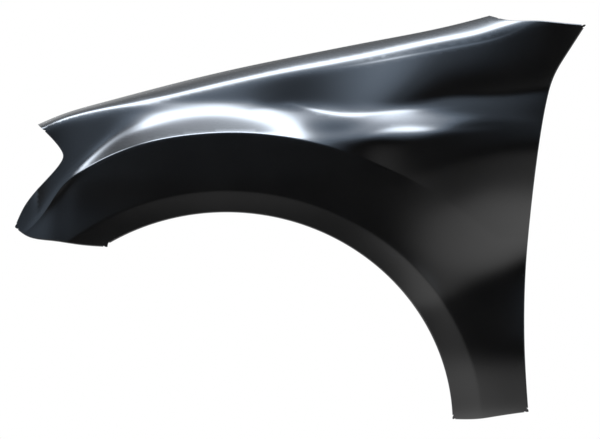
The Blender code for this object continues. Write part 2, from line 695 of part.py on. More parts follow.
def fender_panel():
    """The panel, with its origin on the seat of the bonnet flange's middle bolt pad."""
    border, spans = outline()
    flat, faces, place = skin_mesh(border)
    panel = bmesh.new()
    verts = [panel.verts.new(point) for point in skin_points(flat)]
    for face in faces:
        panel.faces.new([verts[i] for i in face])
    rim = border, spans, [verts[place[i]] for i in range(len(border))]
    seat = bonnet_flange(panel, rim)
    cowl_flange(panel, rim)
    door_flange(panel, rim)
    sill_flange(panel, rim)
    arch_flange(panel, rim)
    bumper_flange(panel, rim)
    lamp_flange(panel, rim)
    bmesh.ops.translate(panel, verts=panel.verts, vec=Vector(-seat))
    bmesh.ops.triangulate(panel, faces=panel.faces)
    bmesh.ops.recalc_face_normals(panel, faces=panel.faces)
    if sum(face.normal.y * face.calc_area() for face in panel.faces) > 0:
        bmesh.ops.reverse_faces(panel, faces=panel.faces)

    mesh = bpy.data.meshes.new("fender_panel")
    panel.to_mesh(mesh)
    panel.free()
    mesh.shade_smooth()
    fender = bpy.data.objects.new("fender_panel", mesh)
    bpy.context.collection.objects.link(fender)
    fender.data.materials.append(black_primer())
    thicken = fender.modifiers.new("sheet", "SOLIDIFY")
    thicken.thickness = SHEET
    thicken.offset = -1
    thicken.use_even_offset = True
    return fender


for leftover in list(bpy.data.objects):
    bpy.data.objects.remove(leftover)
fender_panel()
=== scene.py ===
"""Looks of the car fender: a finely meshed skin in gloss-black primer, in a white studio.

The skin is a depth map over the side view, made of soft folds, with smooth normals from its slopes.
"""

import json
import math

import bmesh
import bpy
import numpy as np
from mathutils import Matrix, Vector
from mathutils.geometry import delaunay_2d_cdt
from mathutils.kdtree import KDTree

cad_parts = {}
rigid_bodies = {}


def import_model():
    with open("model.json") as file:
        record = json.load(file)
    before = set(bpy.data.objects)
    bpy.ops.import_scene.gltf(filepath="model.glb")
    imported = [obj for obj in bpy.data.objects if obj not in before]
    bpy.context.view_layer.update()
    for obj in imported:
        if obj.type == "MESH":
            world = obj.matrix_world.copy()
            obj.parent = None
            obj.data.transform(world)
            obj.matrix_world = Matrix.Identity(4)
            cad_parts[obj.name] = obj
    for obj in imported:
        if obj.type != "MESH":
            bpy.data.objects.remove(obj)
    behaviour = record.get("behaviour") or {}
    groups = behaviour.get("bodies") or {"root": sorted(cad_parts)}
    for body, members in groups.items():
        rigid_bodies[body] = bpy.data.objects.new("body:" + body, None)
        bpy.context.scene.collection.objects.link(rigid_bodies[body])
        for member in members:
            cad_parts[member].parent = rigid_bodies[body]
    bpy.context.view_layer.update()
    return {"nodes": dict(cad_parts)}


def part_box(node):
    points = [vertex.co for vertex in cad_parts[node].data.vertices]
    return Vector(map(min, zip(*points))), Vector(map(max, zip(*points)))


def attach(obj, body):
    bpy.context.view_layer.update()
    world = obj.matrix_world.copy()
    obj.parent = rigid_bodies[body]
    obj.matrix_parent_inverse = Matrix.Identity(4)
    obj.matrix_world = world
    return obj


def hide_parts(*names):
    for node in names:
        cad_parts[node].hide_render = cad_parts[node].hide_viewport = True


# Driving sizes, in metres. +X runs to the rear of the car, +Y inboard and +Z up.
LENGTH = 1.115
HEIGHT = 0.788
BOW = 0.224
SHEET = 0.0009
BEND_RADIUS = 0.0025

# How softly the sheet turns at each pressed line
CREST_SOFTNESS = 0.0006
RIM_SOFTNESS = 0.0023
BELT_SOFTNESS = 0.0043
UPPER_BELT_SOFTNESS = 0.0030
STEP_SOFTNESS = 0.0045
RIDGE_SOFTNESS = 0.0056
CURL_SOFTNESS = 0.0076
TUCK_SOFTNESS = 0.0157
SHOULDER_SOFTNESS = 0.0065
REAR_SHOULDER_SOFTNESS = 0.030
LIP_SOFTNESS = 0.0012
RIM_WIDTH = 0.004

# Narrow pressed bands, how wide each is and how softly it turns, and how softly the foot stands up
CREASE_WIDTH = 0.0047
CREASE_SOFTNESS = 0.0009
PINCH_WIDTH = 0.0055
PINCH_SOFTNESS = 0.0012
WAIST_WIDTH = 0.011
WAIST_SOFTNESS = 0.0022
VALLEY_WIDTH = 0.0205
VALLEY_SOFTNESS = 0.0040
FOOT_SOFTNESS = 0.0080

# Flanges
TOP_DROP = 0.020
TOP_FLANGE = 0.030
DOOR_FLANGE = 0.014
DOOR_TAB = 0.034
DOOR_TAB_LENGTH = 0.046
COWL_FLANGE = 0.022
SILL_FLANGE = 0.030
ARCH_FLANGE = 0.016
BUMPER_FLANGE = 0.020
LAMP_FLANGE = 0.011
CORNER_RELIEF = 0.008
LONG_RELIEF = 0.020
FLANGE_CORNER = 0.007
BOLT_HOLE_RADIUS = 0.0038
CLIP_HOLE_RADIUS = 0.0035
PAD_RADIUS = 0.0095
PAD_RAMP = 0.0045
PAD_DEPTH = 0.003
SLOT_LENGTH = 0.014

# Mesh spacing and steps
EDGE_SPACING = 0.005
LINE_SPACING = 0.005
FIELD_SPACING = 0.0055
BEND_STEP_DEGREES = 12
HOLE_SIDES = 32
PAD_SIDES = 40
RAMP_SHARES = (0, 0.25, 0.5, 0.75, 1)
ROUNDING_SHARES = (0, 0.12, 0.5, 1)
TAB_RAMP_STEPS = 4
PATH_STEPS = 40
CURVE_STEPS = 600
ARC_STEPS = 400
EDGE_CLEARANCE_SHARE = 0.45
LINE_CLEARANCE_SHARE = 0.6
NO_MERGE = 1e-7

# Outline in the side view: shares of the length from the front tip and of the height from the foot
TOP_SHARES = (
    (0.040, 0.7297), (0.080, 0.7535), (0.150, 0.7832), (0.238, 0.8163), (0.378, 0.8649),
    (0.500, 0.9007), (0.631, 0.9371), (0.762, 0.9740), (0.832, 0.9993),
)
COWL_SHARES = (
    (0.832, 0.9993), (0.871, 0.9869), (0.911, 0.9866), (0.955, 0.9817), (1.000, 0.9757),
)
DOOR_SHARES = (
    (1.000, 0.9757), (0.967, 0.9035), (0.944, 0.8465), (0.932, 0.7896), (0.921, 0.7054),
    (0.910, 0.5916), (0.902, 0.4876), (0.896, 0.3837), (0.893, 0.2797), (0.894, 0.1510),
    (0.900, 0.0173),
)
SILL_SHARES = ((0.900, 0.0173), (0.841, 0.0050), (0.818, 0.0000), (0.765, -0.0012))
BUMPER_SHARES = ((0.163, 0.4257), (0.115, 0.4307), (0.066, 0.4406), (0.019, 0.4542), (0.000, 0.4752))
LAMP_SHARES = (
    (0.000, 0.4752), (0.017, 0.5272), (0.040, 0.5693), (0.066, 0.6089), (0.080, 0.6337),
    (0.085, 0.6510), (0.079, 0.6708), (0.061, 0.7005), (0.040, 0.7297),
)
ARCH_CENTRE_SHARES = (0.3715, -0.0176)
ARCH_HALF_SHARES = (0.3960, 0.5290)
LIP_CENTRE_SHARES = (0.3715, -0.0272)
LIP_HALF_SHARES = (0.4476, 0.5928)

# Guide curves of the pressed lines, in the same shares
RIDGE_SHARES = (
    (0.000, 0.698), (0.080, 0.749), (0.168, 0.773), (0.255, 0.797), (0.378, 0.837), (0.500, 0.866),
    (0.579, 0.889), (0.675, 0.919), (0.762, 0.940), (0.806, 0.951), (0.850, 0.967), (0.885, 0.980),
    (1.000, 1.036),
)
CREST_SHARES = (
    (0.000, 0.4431), (0.051, 0.5099), (0.080, 0.5693), (0.115, 0.6114), (0.168, 0.6522),
    (0.257, 0.6923), (0.325, 0.7054), (0.392, 0.7089), (0.448, 0.7035), (0.498, 0.6926),
    (0.570, 0.6666), (0.643, 0.6262), (0.710, 0.5804), (0.785, 0.5124), (0.850, 0.4480),
)
FACE_SHARES = (
    (0.000, 0.4381), (0.051, 0.5050), (0.080, 0.5644), (0.115, 0.6064), (0.168, 0.6473),
    (0.257, 0.6874), (0.325, 0.7005), (0.392, 0.7040), (0.448, 0.6980), (0.498, 0.6881),
    (0.570, 0.6616), (0.643, 0.6411), (0.710, 0.6386), (0.785, 0.6460), (1.000, 0.6609),
)
SHOULDER_SHARES = (
    (0.000, 0.435), (0.051, 0.515), (0.080, 0.566), (0.124, 0.635), (0.168, 0.687), (0.238, 0.727),
    (0.308, 0.747), (0.378, 0.751), (0.448, 0.740), (0.500, 0.735), (0.579, 0.711), (0.675, 0.778),
    (0.762, 0.829), (0.850, 0.833), (1.000, 0.845),
)
UPPER_BELT_SHARES = (
    (0.413, 0.786), (0.488, 0.766), (0.579, 0.779), (0.675, 0.777), (0.762, 0.798), (0.850, 0.802),
    (0.932, 0.815), (1.000, 0.820),
)
MIDDLE_BELT_SHARES = (
    (0.413, 0.760), (0.488, 0.783), (0.535, 0.780), (0.579, 0.766), (0.622, 0.757), (0.675, 0.767),
    (0.762, 0.757), (0.850, 0.748), (1.000, 0.750),
)
LOWER_BELT_SHARES = (
    (0.413, 0.663), (0.500, 0.688), (0.570, 0.688), (0.608, 0.695), (0.649, 0.696), (0.719, 0.704),
    (0.806, 0.738), (0.932, 0.734), (1.000, 0.736),
)
POCKET_SHARES = ((0.675, 0.588), (0.757, 0.635), (0.916, 0.676), (1.000, 0.668))
TUCK_TOP_SHARES = ((0.640, 0.518), (0.675, 0.522), (0.762, 0.530), (0.815, 0.550), (0.902, 0.550))
TUCK_FOOT_SHARES = ((0.640, 0.415), (0.675, 0.404), (0.762, 0.371), (0.815, 0.361), (0.902, 0.401))
SKIRT_SHARES = ((0.745, 0.141), (0.902, 0.165))
CURL_SHARES = ((0.745, 0.007), (0.902, 0.012))

# Lower edges of the narrow bands, and the lines where the foot stands up and turns back in
CREASE_SHARES = (
    (0.500, 0.856), (0.573, 0.868), (0.660, 0.889), (0.790, 0.922), (0.864, 0.949), (0.907, 0.980),
)
PINCH_SHARES = (
    (0.485, 0.776), (0.530, 0.760), (0.580, 0.750), (0.630, 0.753), (0.720, 0.763), (0.800, 0.772),
)
WAIST_SHARES = ((0.600, 0.684), (0.649, 0.704), (0.727, 0.708), (0.850, 0.715))
VALLEY_SHARES = ((0.520, 0.712), (0.560, 0.712), (0.620, 0.722))
FOOT_SHARES = ((0.660, 0.270), (0.745, 0.290), (0.800, 0.330), (0.900, 0.400))
HEEL_SHARES = ((0.660, 0.140), (0.900, 0.140))

# Plan of the panel: how far the flare's face and the ridge stand inboard, as shares of the bow
FACE_PLAN_SHARES = (
    (0.000, -0.451), (0.051, -0.358), (0.080, -0.310), (0.124, -0.240), (0.168, -0.171),
    (0.238, -0.070), (0.308, -0.020), (0.378, 0.001), (0.448, -0.005), (0.500, -0.021),
    (0.579, -0.025), (0.675, -0.029), (0.762, -0.097), (0.850, -0.133), (0.928, -0.149),
    (1.000, -0.165),
)
RIDGE_PLAN_SHARES = (
    (0.000, -0.603), (0.080, -0.493), (0.168, -0.411), (0.238, -0.383), (0.308, -0.366),
    (0.378, -0.359), (0.500, -0.331), (0.579, -0.389), (0.675, -0.420), (0.762, -0.339),
    (0.850, -0.282), (0.928, -0.249), (1.000, -0.216),
)

# Slope of the flare's face, then what each fold adds on its far side, by share of the length
FACE_SLOPE_SHARES = (
    (0.000, 0.185), (0.080, 0.140), (0.168, 0.093), (0.500, 0.075), (0.719, 0.010), (1.000, 0.150),
)
CREST_GAIN_SHARES = (
    (0.000, -0.10), (0.051, 0.28), (0.080, 0.49), (0.124, 0.77), (0.168, 0.97), (0.238, 1.04),
    (0.308, 1.06), (0.448, 1.03), (0.500, 0.68), (0.544, 0.31), (0.579, 0.03), (0.622, -0.23),
    (0.719, 0.00), (0.785, 0.02),
)
RIDGE_GAIN_SHARES = (
    (0.045, 1.90), (0.080, 1.86), (0.168, 1.76), (0.238, 1.53), (0.308, 1.25), (0.378, 1.08),
    (0.448, 1.05), (0.500, 1.04), (0.579, 0.90), (0.675, 0.71), (0.762, 0.86), (0.850, 0.85),
)
RIM_GAIN_SHARES = (
    (0.045, 4.5), (0.150, 4.0), (0.273, 2.6), (0.378, 1.6), (0.500, 1.2), (0.675, 0.9),
    (0.832, 0.7), (1.000, 0.5),
)
LOWER_BELT_GAIN_SHARES = (
    (0.500, 0.01), (0.570, 0.35), (0.608, 0.51), (0.649, 0.63), (0.719, 0.59), (0.762, 0.49),
    (0.806, 0.37), (0.850, 0.24), (1.000, -0.27),
)
MIDDLE_BELT_GAIN_SHARES = (
    (0.474, -0.21), (0.500, -0.19), (0.535, -0.20), (0.579, -0.27), (0.649, -0.42),
    (0.719, -0.38), (0.762, -0.32), (0.850, -0.14), (1.000, 0.10),
)
UPPER_BELT_GAIN_SHARES = (
    (0.474, -0.30), (0.579, 0.01), (0.649, -0.24), (0.719, -0.42), (0.762, -0.46),
    (0.806, -0.46), (1.000, -0.17),
)
POCKET_GAIN_SHARES = ((0.675, 0.05), (0.757, 0.11), (1.000, 0.32))
TUCK_TOP_GAIN_SHARES = ((0.500, -0.07), (0.587, -0.07), (0.675, 0.03), (0.762, 0.12), (1.000, 0.32))
TUCK_FOOT_GAIN_SHARES = ((0.500, 0.14), (0.587, 0.01), (0.675, -0.10), (0.762, -0.05), (1.000, -0.85))
SKIRT_GAIN_SHARES = ((0.710, -0.06), (0.754, -0.04), (1.000, 0.49))
CURL_GAIN_SHARES = ((0.727, 0.00), (0.754, 0.25), (1.000, 0.30))
CREASE_GAIN_SHARES = ((0.52, 0), (0.60, 0.16), (0.70, 0.22), (0.84, 0.20), (0.92, 0))
PINCH_GAIN_SHARES = ((0.47, 0), (0.50, 0.22), (0.56, 0.24), (0.62, 0.15), (0.70, 0.10), (0.80, 0))
WAIST_GAIN_SHARES = ((0.58, 0), (0.62, 0.12), (0.66, 0.22), (0.74, 0.20), (0.86, 0))
VALLEY_GAIN_SHARES = ((0.51, 0), (0.55, -0.24), (0.59, -0.24), (0.63, 0))
FOOT_GAIN_SHARES = ((0.66, -0.12), (0.76, -0.12), (0.82, -0.05), (0.88, 0))
HEEL_GAIN_SHARES = ((0.72, 0.20), (0.80, 0.14), (0.88, 0))
LIP_SLOPE_SHARES = ((0.62, 0.146), (0.70, 0.23), (0.76, 0.28))

# How far the shoulder has gone over to its rear softness, by share of the length
REAR_SHOULDER_SHARES = ((0.500, 0.0), (0.700, 1.0))

# Rounding of every table's corners: its share of the length, its steps and how many shares it reaches
BLEND_SHARE = 0.026
BLEND_STEPS = 20
BLEND_REACH = 4

# Stretch of each line that the mesh follows, by share of the length
CREST_SPAN_SHARES = (0.02, 0.79)
RIDGE_SPAN_SHARES = (0.05, 0.84)
RIM_SPAN_SHARES = (0.05, 0.83)
BELT_SPAN_SHARES = (0.48, 0.93)

# How far off each line the mesh follows it too, in softnesses, and in widths for a band
CREST_STEPS = (-3, -1, 0, 1, 3)
RIDGE_STEPS = (-1, -0.5, 0, 0.5)
RIM_STEPS = (-1, -0.5, 0, 0.5)
BELT_STEPS = (-1.5, 0, 1.5)
LIP_STEPS = (-3, -1, 1, 3)
BAND_STEPS = (-0.15, 0, 0.15, 0.5, 0.85, 1, 1.15)

REARWARD = np.eye(3)[0]
FORWARD = -REARWARD
INBOARD = np.eye(3)[1]
UP = np.eye(3)[2]
DOWN = -UP


def spline(points):
    """Curve of continuous curvature through the points, level beyond its ends."""
    knots, values = np.array(points).T
    gaps = np.diff(knots)
    slopes = np.diff(values) / gaps
    size = len(knots)
    system = np.eye(size)
    right = np.zeros(size)
    for i in range(1, size - 1):
        system[i, i - 1:i + 2] = gaps[i - 1], 2 * (gaps[i - 1] + gaps[i]), gaps[i]
        right[i] = 6 * (slopes[i] - slopes[i - 1])
    bend = np.linalg.solve(system, right)

    def value(at):
        at = np.clip(at, knots[0], knots[-1])
        i = np.clip(np.searchsorted(knots, at) - 1, 0, size - 2)
        left = at - knots[i]
        rest = knots[i + 1] - at
        gap = gaps[i]
        low = values[i] / gap - bend[i] * gap / 6
        high = values[i + 1] / gap - bend[i + 1] * gap / 6
        return (bend[i] * rest**3 + bend[i + 1] * left**3) / (6 * gap) + low * rest + high * left

    return value


def table(stations):
    """Values joined by straight runs, with their corners rounded over the blend's share."""
    step = BLEND_SHARE / BLEND_STEPS
    margin = 2 * BLEND_REACH * BLEND_SHARE
    along = np.arange(-margin, 1 + margin, step)
    reach = int(BLEND_REACH * BLEND_SHARE / step)
    weights = np.exp(-0.5 * (np.arange(-reach, reach + 1) * step / BLEND_SHARE) ** 2)
    raw = np.interp(along, *np.array(stations).T)
    rounded = np.convolve(raw, weights / weights.sum(), mode="same")
    return lambda at: np.interp(at, along, rounded)


def fold(curve_shares, softness, gain_shares):
    return spline(curve_shares), softness, table(gain_shares)


def band(lower_shares, width, softness, gain_shares):
    """Two folds a set width apart, which turn the sheet and turn it back again."""
    lower = spline(lower_shares)
    gain = table(gain_shares)
    return (
        (lower, softness, gain),
        (lambda along: lower(along) + width / HEIGHT, softness, lambda along: -gain(along)),
    )


TOP_LINE = spline(TOP_SHARES)
RIDGE_LINE = spline(RIDGE_SHARES)
CREST_LINE = spline(CREST_SHARES)
FACE_LINE = spline(FACE_SHARES)
SHOULDER_LINE = spline(SHOULDER_SHARES)
FACE_PLAN = spline(FACE_PLAN_SHARES)
RIDGE_PLAN = spline(RIDGE_PLAN_SHARES)
FACE_SLOPE = table(FACE_SLOPE_SHARES)
REAR_SHOULDER = table(REAR_SHOULDER_SHARES)
RIM_GAIN = table(RIM_GAIN_SHARES)
LIP_SLOPE = table(LIP_SLOPE_SHARES)

FOLDS_ABOVE = (
    fold(CREST_SHARES, CREST_SOFTNESS, CREST_GAIN_SHARES),
    fold(RIDGE_SHARES, RIDGE_SOFTNESS, RIDGE_GAIN_SHARES),
    fold(LOWER_BELT_SHARES, STEP_SOFTNESS, LOWER_BELT_GAIN_SHARES),
    fold(MIDDLE_BELT_SHARES, BELT_SOFTNESS, MIDDLE_BELT_GAIN_SHARES),
    fold(UPPER_BELT_SHARES, UPPER_BELT_SOFTNESS, UPPER_BELT_GAIN_SHARES),
    *band(CREASE_SHARES, CREASE_WIDTH, CREASE_SOFTNESS, CREASE_GAIN_SHARES),
    *band(PINCH_SHARES, PINCH_WIDTH, PINCH_SOFTNESS, PINCH_GAIN_SHARES),
    *band(WAIST_SHARES, WAIST_WIDTH, WAIST_SOFTNESS, WAIST_GAIN_SHARES),
    *band(VALLEY_SHARES, VALLEY_WIDTH, VALLEY_SOFTNESS, VALLEY_GAIN_SHARES),
)
FOLDS_BELOW = (
    fold(POCKET_SHARES, CURL_SOFTNESS, POCKET_GAIN_SHARES),
    fold(TUCK_TOP_SHARES, TUCK_SOFTNESS, TUCK_TOP_GAIN_SHARES),
    fold(TUCK_FOOT_SHARES, TUCK_SOFTNESS, TUCK_FOOT_GAIN_SHARES),
    fold(SKIRT_SHARES, TUCK_SOFTNESS, SKIRT_GAIN_SHARES),
    fold(CURL_SHARES, CURL_SOFTNESS, CURL_GAIN_SHARES),
    fold(FOOT_SHARES, FOOT_SOFTNESS, FOOT_GAIN_SHARES),
    fold(HEEL_SHARES, TUCK_SOFTNESS, HEEL_GAIN_SHARES),
)


def turn(distance, softness):
    """Integral of a soft step: nothing before the fold, the distance past it after."""
    return softness * np.logaddexp(0, distance / softness)


def folded(along, up, start):
    """How far the sheet has gone inboard between two heights of one section, by its folds."""
    inboard = FACE_SLOPE(along) * (up - start)
    for line, softness, gain in FOLDS_ABOVE:
        at = line(along) * HEIGHT
        inboard = inboard + gain(along) * (turn(up - at, softness) - turn(start - at, softness))
    rim = TOP_LINE(along) * HEIGHT - RIM_WIDTH
    inboard = inboard + RIM_GAIN(along) * (turn(up - rim, RIM_SOFTNESS) - turn(start - rim, RIM_SOFTNESS))
    for line, softness, gain in FOLDS_BELOW:
        at = line(along) * HEIGHT
        inboard = inboard + gain(along) * (turn(at - up, softness) - turn(at - start, softness))
    return inboard


def skin_depth(x, z):
    """How far the outer skin stands proud of the flare's widest point, negative inboard."""
    along = x / LENGTH
    start = FACE_LINE(along) * HEIGHT
    ridge = RIDGE_LINE(along) * HEIGHT
    shoulder = SHOULDER_LINE(along) * HEIGHT
    rear = REAR_SHOULDER(along)
    softness = SHOULDER_SOFTNESS * (1 - rear) + REAR_SHOULDER_SOFTNESS * rear
    face = FACE_PLAN(along) * BOW
    missing = face - RIDGE_PLAN(along) * BOW - folded(along, ridge, start)
    bent = turn(z - shoulder, softness) - turn(start - shoulder, softness)
    full = turn(ridge - shoulder, softness) - turn(start - shoulder, softness)
    depth = face - folded(along, z, start) - missing * bent / full
    return depth - LIP_SLOPE(along) * turn(inside_lip(x, z), LIP_SOFTNESS)


def inside_lip(x, z):
    """Distance inside the lip line, towards the wheel."""
    half_x = LIP_HALF_SHARES[0] * LENGTH
    half_z = LIP_HALF_SHARES[1] * HEIGHT
    across = (x - LIP_CENTRE_SHARES[0] * LENGTH) / half_x
    above = (z - LIP_CENTRE_SHARES[1] * HEIGHT) / half_z
    return (1 - np.hypot(across, above)) * (half_x + half_z) / 2


def skin_points(flat):
    return np.column_stack([flat[:, 0], -skin_depth(flat[:, 0], flat[:, 1]), flat[:, 1]])


def skin_normals(flat):
    """Outward unit normals of the skin, from the slopes over one sheet thickness each way."""
    x, z = flat.T
    slope_x = (skin_depth(x + SHEET, z) - skin_depth(x - SHEET, z)) / (2 * SHEET)
    slope_z = (skin_depth(x, z + SHEET) - skin_depth(x, z - SHEET)) / (2 * SHEET)
    return unit(np.column_stack([-slope_x, -np.ones_like(x), -slope_z]))


def unit(vectors):
    return vectors / np.linalg.norm(vectors, axis=1, keepdims=True)


def off_the_skin(flat, around):
    """Headings in line with the skin that leave its edge squarely, for an edge that runs clockwise."""
    along = skin_points(flat + SHEET * around) - skin_points(flat - SHEET * around)
    return unit(np.cross(skin_normals(flat), along))


def lengths_along(points):
    return np.concatenate([[0], np.cumsum(np.linalg.norm(np.diff(points, axis=0), axis=1))])


def filled(breaks, spacing):
    """The breaks with even steps near the spacing between them."""
    runs = []
    for start, end in zip(breaks[:-1], breaks[1:]):
        runs.append(np.linspace(start, end, max(1, math.ceil((end - start) / spacing)) + 1)[:-1])
    return np.append(np.concatenate(runs), breaks[-1])


def placed_along(points, at):
    """Points at the given distances along the polyline."""
    travelled = lengths_along(points)
    return np.column_stack([np.interp(at, travelled, axis) for axis in points.T])


def spaced(points, spacing):
    """The polyline again, at even steps near the spacing."""
    return placed_along(points, filled([0, lengths_along(points)[-1]], spacing))


def path(shares):
    """Dense polyline of the smooth curve through points given as shares."""
    points = np.array(shares) * (LENGTH, HEIGHT)
    knots = lengths_along(points)
    at = np.linspace(0, knots[-1], PATH_STEPS * len(points))
    return np.column_stack([spline(list(zip(knots, axis)))(at) for axis in points.T])


def ellipse(centre_shares, half_shares, first, last):
    """Dense arc from the first angle to the last, in degrees from the rear, up over the top."""
    angle = np.radians(np.linspace(first, last, ARC_STEPS))
    x = (centre_shares[0] + half_shares[0] * np.cos(angle)) * LENGTH
    z = (centre_shares[1] + half_shares[1] * np.sin(angle)) * HEIGHT
    return np.column_stack([x, z])


def arch_angle(point_shares):
    across = (point_shares[0] - ARCH_CENTRE_SHARES[0]) / ARCH_HALF_SHARES[0]
    above = (point_shares[1] - ARCH_CENTRE_SHARES[1]) / ARCH_HALF_SHARES[1]
    return math.degrees(math.atan2(above, across))


RELIEFS = {
    "top": (LONG_RELIEF, LONG_RELIEF),
    "cowl": (LONG_RELIEF, CORNER_RELIEF),
    "door": (CORNER_RELIEF, CORNER_RELIEF),
    "sill": (CORNER_RELIEF, CORNER_RELIEF),
    "arch": (CORNER_RELIEF, CORNER_RELIEF),
    "bumper": (CORNER_RELIEF, CORNER_RELIEF),
    "lamp": (CORNER_RELIEF, LONG_RELIEF),
}


def outline():
    """The skin's edge in the side view, clockwise from the front of the bonnet gap, and its runs.

    Between the corner reliefs each run stands in by what its flange's bend adds to the side view.
    """
    arch = ellipse(
        ARCH_CENTRE_SHARES, ARCH_HALF_SHARES, arch_angle(SILL_SHARES[-1]), arch_angle(BUMPER_SHARES[0])
    )
    runs = {
        "top": path(TOP_SHARES),
        "cowl": path(COWL_SHARES),
        "door": path(DOOR_SHARES),
        "sill": path(SILL_SHARES),
        "arch": arch,
        "bumper": path(BUMPER_SHARES),
        "lamp": path(LAMP_SHARES),
    }
    points = []
    spans = {}
    for name, dense in runs.items():
        total = lengths_along(dense)[-1]
        first, last = RELIEFS[name]
        at = filled([0, first, total - last, total], EDGE_SPACING)[:-1]
        spans[name] = len(points) + np.flatnonzero((at >= first) & (at <= total - last))
        points.extend(placed_along(dense, at))
    points = np.array(points)
    flanged = np.zeros(len(points))
    flanged[np.concatenate(list(spans.values()))] = BEND_RADIUS
    around = unit(np.roll(points, -1, axis=0) - np.roll(points, 1, axis=0))
    inward = np.column_stack([around[:, 1], -around[:, 0]])
    added = flanged * (1 - off_the_skin(points, around) @ INBOARD)
    return points + inward * added[:, None], spans


def is_inside(points, polygon):
    """Whether each point lies inside the closed polygon."""
    x, z = points[:, 0, None], points[:, 1, None]
    x0, z0 = polygon.T
    x1, z1 = np.roll(polygon, -1, axis=0).T
    level = z1 - z0
    crosses = ((z0 > z) != (z1 > z)) & (x < (x1 - x0) * (z - z0) / np.where(level == 0, 1, level) + x0)
    return crosses.sum(axis=1) % 2 == 1


def nearest(points, others):
    """Distance from each point to the closest of the others."""
    tree = KDTree(len(others))
    for i, (x, z) in enumerate(others):
        tree.insert((x, 0, z), i)
    tree.balance()
    return np.array([tree.find((x, 0, z))[2] for x, z in points])


def feature_lines():
    """Lines that the skin's mesh edges follow, so that each pressed line stays crisp."""
    lines = []

    def along_curve(line, span, rise):
        share = np.linspace(*span, CURVE_STEPS)
        lines.append(np.column_stack([share * LENGTH, line(share) * HEIGHT + rise]))

    for step in CREST_STEPS:
        along_curve(CREST_LINE, CREST_SPAN_SHARES, step * CREST_SOFTNESS)
    for step in RIDGE_STEPS:
        along_curve(RIDGE_LINE, RIDGE_SPAN_SHARES, step * RIDGE_SOFTNESS)
    for step in RIM_STEPS:
        along_curve(TOP_LINE, RIM_SPAN_SHARES, step * RIM_SOFTNESS - RIM_WIDTH)
    for shares in (LOWER_BELT_SHARES, MIDDLE_BELT_SHARES, UPPER_BELT_SHARES):
        for step in BELT_STEPS:
            along_curve(spline(shares), BELT_SPAN_SHARES, step * BELT_SOFTNESS)
    for shares, width, gains in (
        (CREASE_SHARES, CREASE_WIDTH, CREASE_GAIN_SHARES),
        (PINCH_SHARES, PINCH_WIDTH, PINCH_GAIN_SHARES),
        (WAIST_SHARES, WAIST_WIDTH, WAIST_GAIN_SHARES),
    ):
        for step in BAND_STEPS:
            along_curve(spline(shares), (gains[0][0], gains[-1][0]), step * width)
    for step in LIP_STEPS:
        rise = step * LIP_SOFTNESS
        grown = (LIP_HALF_SHARES[0] + rise / LENGTH, LIP_HALF_SHARES[1] + rise / HEIGHT)
        lines.append(ellipse(LIP_CENTRE_SHARES, grown, 0, 180))
    return [spaced(line, LINE_SPACING) for line in lines]


def triangulated(points, edges, border):
    """Triangles of the constrained mesh inside the border, and the output place of each input point."""
    flat = [Vector(point) for point in points]
    found, _, faces, sources, _, _ = delaunay_2d_cdt(flat, edges, [border], 1, NO_MERGE)
    place = {}
    for i, inputs in enumerate(sources):
        for source in inputs:
            place[source] = i
    return np.array([tuple(point) for point in found]), faces, place


def skin_mesh(border):
    """Vertices and triangles of the skin over the side view."""
    points = list(border)
    edges = []
    for line in feature_lines():
        keep = is_inside(line, border) & (nearest(line, border) > EDGE_CLEARANCE_SHARE * LINE_SPACING)
        last = None
        for point, kept in zip(line, keep):
            if kept:
                points.append(point)
                if last is not None:
                    edges.append((last, len(points) - 1))
            last = len(points) - 1 if kept else None
    across = np.arange(0, LENGTH, FIELD_SPACING)
    rows = np.arange(0, HEIGHT, FIELD_SPACING * math.sqrt(3) / 2)
    field = np.array([(x + FIELD_SPACING / 2 * (i % 2), z) for i, z in enumerate(rows) for x in across])
    field = field[is_inside(field, border)]
    field = field[nearest(field, np.array(points)) > LINE_CLEARANCE_SHARE * FIELD_SPACING]
    points.extend(field)
    return triangulated(points, edges, list(range(len(border))))


def slerp(start, end, share):
    """Unit vectors part of the way round from the start headings to the end headings."""
    angle = np.arccos(np.clip((start * end).sum(axis=1), -1, 1))[:, None]
    return (start * np.sin(angle * (1 - share)) + end * np.sin(angle * share)) / np.sin(angle)


class Strip:
    """A folded strip that grows from a row of vertices along changing headings."""

    def __init__(self, panel, verts, heading):
        self.panel = panel
        self.verts = verts
        self.points = np.array([vert.co for vert in verts])
        self.heading = heading

    def advance(self, steps):
        self.points = self.points + steps
        row = [self.panel.verts.new(point) for point in self.points]
        for i in range(len(row) - 1):
            self.panel.faces.new([self.verts[i], self.verts[i + 1], row[i + 1], row[i]])
        self.verts = row

    def bend(self, heading):
        """Turns to a new heading along an arc of the bend radius."""
        heading = np.broadcast_to(heading, self.points.shape)
        angle = np.arccos(np.clip((self.heading * heading).sum(axis=1), -1, 1))[:, None]
        steps = max(1, round(math.degrees(angle.mean()) / BEND_STEP_DEGREES))
        start = self.heading
        chord = 2 * BEND_RADIUS * np.sin(angle / steps / 2)
        for step in range(steps):
            self.advance(chord * slerp(start, heading, (step + 0.5) / steps))
        self.heading = heading


def ease(share):
    """Smooth step from 0 to 1."""
    share = np.clip(share, 0, 1)
    return share**2 * (3 - 2 * share)


def circle(centre, radius, sides, slot=0):
    """Closed loop round a hole: a circle, or a slot lengthened along the strip."""
    angle = np.arange(sides) * 2 * math.pi / sides + math.pi / sides
    x = centre[0] + radius * np.cos(angle) + slot / 2 * np.sign(np.cos(angle))
    return np.column_stack([x, centre[1] + radius * np.sin(angle)])


